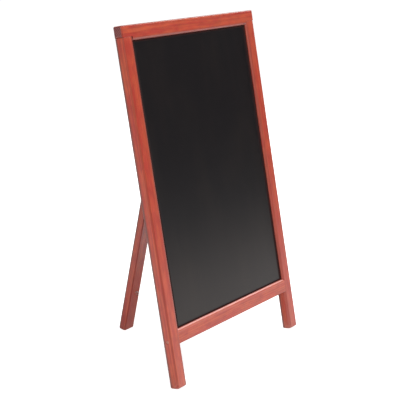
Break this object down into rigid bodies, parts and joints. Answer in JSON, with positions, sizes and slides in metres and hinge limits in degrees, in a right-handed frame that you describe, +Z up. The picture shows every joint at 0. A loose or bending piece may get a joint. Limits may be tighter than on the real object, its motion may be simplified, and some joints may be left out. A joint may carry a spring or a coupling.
{
  "type": "sandwich board",
  "caption": "Single-sided free-standing chalkboard: a stained timber frame around a black writing panel, propped by one hinged rear strut that folds flat.",
  "frame": {"origin": "on the floor, at the middle of the open board's footprint", "axes": "+X to the viewer's right, +Y from the writing side to the back, +Z up"},
  "size_m": [0.553, 0.3788, 0.8376],
  "materials": {
    "stained_wood": "red mahogany stain under satin varnish",
    "chalkboard": "hardboard with matte black chalkboard coating",
    "plain_wood": "unfinished beech dowel",
    "zinc_steel": "bright zinc plated"
  },
  "bodies": {
    "front_frame": {"left_stile": "stained_wood", "right_stile": "stained_wood", "top_rail": "stained_wood", "bottom_rail": "stained_wood", "chalkboard_panel": "chalkboard", "left_top_dowels": "plain_wood", "right_top_dowels": "plain_wood", "left_rail_dowel": "plain_wood", "right_rail_dowel": "plain_wood", "left_rail_screw": "zinc_steel", "right_rail_screw": "zinc_steel", "rail_screw_eye": "zinc_steel", "hinge_frame_leaf": "zinc_steel", "hinge_frame_screws": "zinc_steel", "hinge_pin": "zinc_steel"},
    "strut": {"rear_strut": "stained_wood", "hinge_strut_leaf": "zinc_steel", "hinge_strut_screws": "zinc_steel", "strut_screw_eye": "zinc_steel"}
  },
  "joints": [
    {"name": "strut_fold", "type": "hinge", "parent": "front_frame", "child": "strut", "pos_m": [0, -0.01043, 0.82441], "axis": [-1, 0, 0], "range_deg": [0, 22]}
  ]
}
